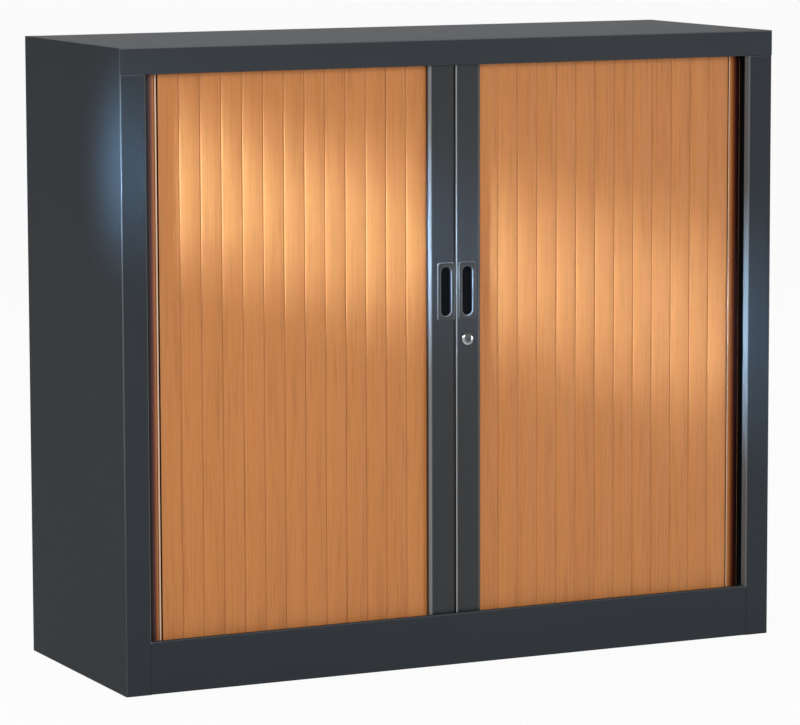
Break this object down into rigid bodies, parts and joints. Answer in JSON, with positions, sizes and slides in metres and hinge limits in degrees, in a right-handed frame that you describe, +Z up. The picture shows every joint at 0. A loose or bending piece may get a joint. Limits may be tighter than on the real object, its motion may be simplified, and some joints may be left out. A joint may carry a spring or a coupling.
{
  "type": "roll front tool cabinet",
  "caption": "Low steel storage cabinet with two side-opening slatted curtains that meet at recessed-grip posts, a cylinder lock, and shelves inside.",
  "frame": {"origin": "middle of the footprint, on the floor", "axes": "+Z up, X along the front with +X to the right as seen from the front, the front faces -Y"},
  "size_m": [1.2, 0.43, 1.05],
  "materials": {
    "anthracite_steel": "satin powder coat",
    "inner_steel": "satin powder coat",
    "anthracite_post": "satin powder coat",
    "wood_grain_slat": "satin wood-grain foil",
    "grip_plastic": "satin black",
    "track_plastic": "matte black",
    "stop_rubber": "matte",
    "zinc_steel": "zinc plated",
    "lock_chrome": "polished"
  },
  "bodies": {
    "carcass": {"right_side_panel": "anthracite_steel", "left_side_panel": "anthracite_steel", "top_panel": "anthracite_steel", "plinth": "anthracite_steel", "back_panel": "anthracite_steel", "base_deck": "inner_steel", "top_deck": "inner_steel", "floor_tray": "inner_steel", "right_liner": "inner_steel", "left_liner": "inner_steel", "shelf_1": "inner_steel", "shelf_2": "inner_steel", "corner_gussets": "inner_steel", "bottom_right_track": "track_plastic", "bottom_left_track": "track_plastic", "top_right_track": "track_plastic", "top_left_track": "track_plastic", "shelf_clips": "zinc_steel", "levelling_feet": "zinc_steel", "track_screws": "zinc_steel", "end_stops": "stop_rubber"},
    "right_post": {"right_post": "anthracite_post", "right_grip": "grip_plastic", "right_shoes": "track_plastic", "lock_barrel": "lock_chrome", "lock_nut": "zinc_steel", "right_slat_01": "wood_grain_slat"},
    "left_post": {"left_post": "anthracite_post", "left_grip": "grip_plastic", "left_shoes": "track_plastic", "lock_strike": "zinc_steel", "left_slat_01": "wood_grain_slat"},
    "lock": {"lock_plug": "lock_chrome", "lock_cam": "zinc_steel"},
    "right_slat_02": {"right_slat_02": "wood_grain_slat"},
    "right_slat_03": {"right_slat_03": "wood_grain_slat"},
    "right_slat_04": {"right_slat_04": "wood_grain_slat"},
    "right_slat_05": {"right_slat_05": "wood_grain_slat"},
    "right_slat_06": {"right_slat_06": "wood_grain_slat"},
    "right_slat_07": {"right_slat_07": "wood_grain_slat"},
    "right_slat_08": {"right_slat_08": "wood_grain_slat"},
    "right_slat_09": {"right_slat_09": "wood_grain_slat"},
    "right_slat_10": {"right_slat_10": "wood_grain_slat"},
    "right_slat_11": {"right_slat_11": "wood_grain_slat"},
    "right_slat_12": {"right_slat_12": "wood_grain_slat"},
    "right_slat_13": {"right_slat_13": "wood_grain_slat"},
    "right_tail": {"right_tail": "wood_grain_slat"},
    "left_slat_02": {"left_slat_02": "wood_grain_slat"},
    "left_slat_03": {"left_slat_03": "wood_grain_slat"},
    "left_slat_04": {"left_slat_04": "wood_grain_slat"},
    "left_slat_05": {"left_slat_05": "wood_grain_slat"},
    "left_slat_06": {"left_slat_06": "wood_grain_slat"},
    "left_slat_07": {"left_slat_07": "wood_grain_slat"},
    "left_slat_08": {"left_slat_08": "wood_grain_slat"},
    "left_slat_09": {"left_slat_09": "wood_grain_slat"},
    "left_slat_10": {"left_slat_10": "wood_grain_slat"},
    "left_slat_11": {"left_slat_11": "wood_grain_slat"},
    "left_slat_12": {"left_slat_12": "wood_grain_slat"},
    "left_slat_13": {"left_slat_13": "wood_grain_slat"},
    "left_tail": {"left_tail": "wood_grain_slat"}
  },
  "joints": [
    {"name": "right_post_slide", "type": "slide", "parent": "carcass", "child": "right_post", "axis": [1, 0, 0], "range_m": [0, 0.5015]},
    {"name": "left_post_slide", "type": "slide", "parent": "carcass", "child": "left_post", "axis": [-1, 0, 0], "range_m": [0, 0.5015]},
    {"name": "right_slat_02_slide", "type": "slide", "parent": "carcass", "child": "right_slat_02", "axis": [1, 0.0052, 0], "range_m": [0, 0.46472]},
    {"name": "right_slat_03_slide", "type": "slide", "parent": "carcass", "child": "right_slat_03", "axis": [0.9999, 0.0112, 0], "range_m": [0, 0.42796]},
    {"name": "right_slat_04_slide", "type": "slide", "parent": "carcass", "child": "right_slat_04", "axis": [0.9998, 0.0184, 0], "range_m": [0, 0.39121]},
    {"name": "right_slat_05_slide", "type": "slide", "parent": "carcass", "child": "right_slat_05", "axis": [0.9996, 0.0271, 0], "range_m": [0, 0.35449]},
    {"name": "right_slat_06_slide", "type": "slide", "parent": "carcass", "child": "right_slat_06", "axis": [0.9993, 0.0378, 0], "range_m": [0, 0.31781]},
    {"name": "right_slat_07_slide", "type": "slide", "parent": "carcass", "child": "right_slat_07", "axis": [0.9987, 0.0512, 0], "range_m": [0, 0.28116]},
    {"name": "right_slat_08_slide", "type": "slide", "parent": "carcass", "child": "right_slat_08", "axis": [0.9976, 0.0687, 0], "range_m": [0, 0.24459]},
    {"name": "right_slat_09_slide", "type": "slide", "parent": "carcass", "child": "right_slat_09", "axis": [0.9957, 0.0923, 0], "range_m": [0, 0.20811]},
    {"name": "right_slat_10_slide", "type": "slide", "parent": "carcass", "child": "right_slat_10", "axis": [0.9921, 0.1257, 0], "range_m": [0, 0.1718]},
    {"name": "right_slat_11_slide", "type": "slide", "parent": "carcass", "child": "right_slat_11", "axis": [0.9843, 0.1767, 0], "range_m": [0, 0.13579]},
    {"name": "right_slat_12_slide", "type": "slide", "parent": "carcass", "child": "right_slat_12", "axis": [0.9648, 0.2629, 0], "range_m": [0, 0.1004]},
    {"name": "right_slat_13_slide", "type": "slide", "parent": "carcass", "child": "right_slat_13", "axis": [0.9018, 0.4322, 0], "range_m": [0, 0.06663]},
    {"name": "right_tail_slide", "type": "slide", "parent": "carcass", "child": "right_tail", "axis": [0, 1, 0], "range_m": [0, 0.26882]},
    {"name": "left_slat_02_slide", "type": "slide", "parent": "carcass", "child": "left_slat_02", "axis": [-1, 0.0052, 0], "range_m": [0, 0.46472]},
    {"name": "left_slat_03_slide", "type": "slide", "parent": "carcass", "child": "left_slat_03", "axis": [-0.9999, 0.0112, 0], "range_m": [0, 0.42796]},
    {"name": "left_slat_04_slide", "type": "slide", "parent": "carcass", "child": "left_slat_04", "axis": [-0.9998, 0.0184, 0], "range_m": [0, 0.39121]},
    {"name": "left_slat_05_slide", "type": "slide", "parent": "carcass", "child": "left_slat_05", "axis": [-0.9996, 0.0271, 0], "range_m": [0, 0.35449]},
    {"name": "left_slat_06_slide", "type": "slide", "parent": "carcass", "child": "left_slat_06", "axis": [-0.9993, 0.0378, 0], "range_m": [0, 0.31781]},
    {"name": "left_slat_07_slide", "type": "slide", "parent": "carcass", "child": "left_slat_07", "axis": [-0.9987, 0.0512, 0], "range_m": [0, 0.28116]},
    {"name": "left_slat_08_slide", "type": "slide", "parent": "carcass", "child": "left_slat_08", "axis": [-0.9976, 0.0687, 0], "range_m": [0, 0.24459]},
    {"name": "left_slat_09_slide", "type": "slide", "parent": "carcass", "child": "left_slat_09", "axis": [-0.9957, 0.0923, 0], "range_m": [0, 0.20811]},
    {"name": "left_slat_10_slide", "type": "slide", "parent": "carcass", "child": "left_slat_10", "axis": [-0.9921, 0.1257, 0], "range_m": [0, 0.1718]},
    {"name": "left_slat_11_slide", "type": "slide", "parent": "carcass", "child": "left_slat_11", "axis": [-0.9843, 0.1767, 0], "range_m": [0, 0.13579]},
    {"name": "left_slat_12_slide", "type": "slide", "parent": "carcass", "child": "left_slat_12", "axis": [-0.9648, 0.2629, 0], "range_m": [0, 0.1004]},
    {"name": "left_slat_13_slide", "type": "slide", "parent": "carcass", "child": "left_slat_13", "axis": [-0.9018, 0.4322, 0], "range_m": [0, 0.06663]},
    {"name": "left_tail_slide", "type": "slide", "parent": "carcass", "child": "left_tail", "axis": [0, 1, 0], "range_m": [0, 0.26882]},
    {"name": "lock_turn", "type": "hinge", "parent": "right_post", "child": "lock", "pos_m": [0.02225, -0.203, 0.549], "axis": [0, 1, 0], "range_deg": [0, 90]}
  ],
  "couplings": [
    {"joint": "right_slat_02_slide", "follows": "right_post_slide", "ratio": 0.92666},
    {"joint": "right_slat_03_slide", "follows": "right_post_slide", "ratio": 0.85336},
    {"joint": "right_slat_04_slide", "follows": "right_post_slide", "ratio": 0.78008},
    {"joint": "right_slat_05_slide", "follows": "right_post_slide", "ratio": 0.70686},
    {"joint": "right_slat_06_slide", "follows": "right_post_slide", "ratio": 0.63371},
    {"joint": "right_slat_07_slide", "follows": "right_post_slide", "ratio": 0.56064},
    {"joint": "right_slat_08_slide", "follows": "right_post_slide", "ratio": 0.48771},
    {"joint": "right_slat_09_slide", "follows": "right_post_slide", "ratio": 0.41498},
    {"joint": "right_slat_10_slide", "follows": "right_post_slide", "ratio": 0.34258},
    {"joint": "right_slat_11_slide", "follows": "right_post_slide", "ratio": 0.27077},
    {"joint": "right_slat_12_slide", "follows": "right_post_slide", "ratio": 0.2002},
    {"joint": "right_slat_13_slide", "follows": "right_post_slide", "ratio": 0.13286},
    {"joint": "right_tail_slide", "follows": "right_post_slide", "ratio": 0.53602},
    {"joint": "left_slat_02_slide", "follows": "left_post_slide", "ratio": 0.92666},
    {"joint": "left_slat_03_slide", "follows": "left_post_slide", "ratio": 0.85336},
    {"joint": "left_slat_04_slide", "follows": "left_post_slide", "ratio": 0.78008},
    {"joint": "left_slat_05_slide", "follows": "left_post_slide", "ratio": 0.70686},
    {"joint": "left_slat_06_slide", "follows": "left_post_slide", "ratio": 0.63371},
    {"joint": "left_slat_07_slide", "follows": "left_post_slide", "ratio": 0.56064},
    {"joint": "left_slat_08_slide", "follows": "left_post_slide", "ratio": 0.48771},
    {"joint": "left_slat_09_slide", "follows": "left_post_slide", "ratio": 0.41498},
    {"joint": "left_slat_10_slide", "follows": "left_post_slide", "ratio": 0.34258},
    {"joint": "left_slat_11_slide", "follows": "left_post_slide", "ratio": 0.27077},
    {"joint": "left_slat_12_slide", "follows": "left_post_slide", "ratio": 0.2002},
    {"joint": "left_slat_13_slide", "follows": "left_post_slide", "ratio": 0.13286},
    {"joint": "left_tail_slide", "follows": "left_post_slide", "ratio": 0.53602}
  ]
}
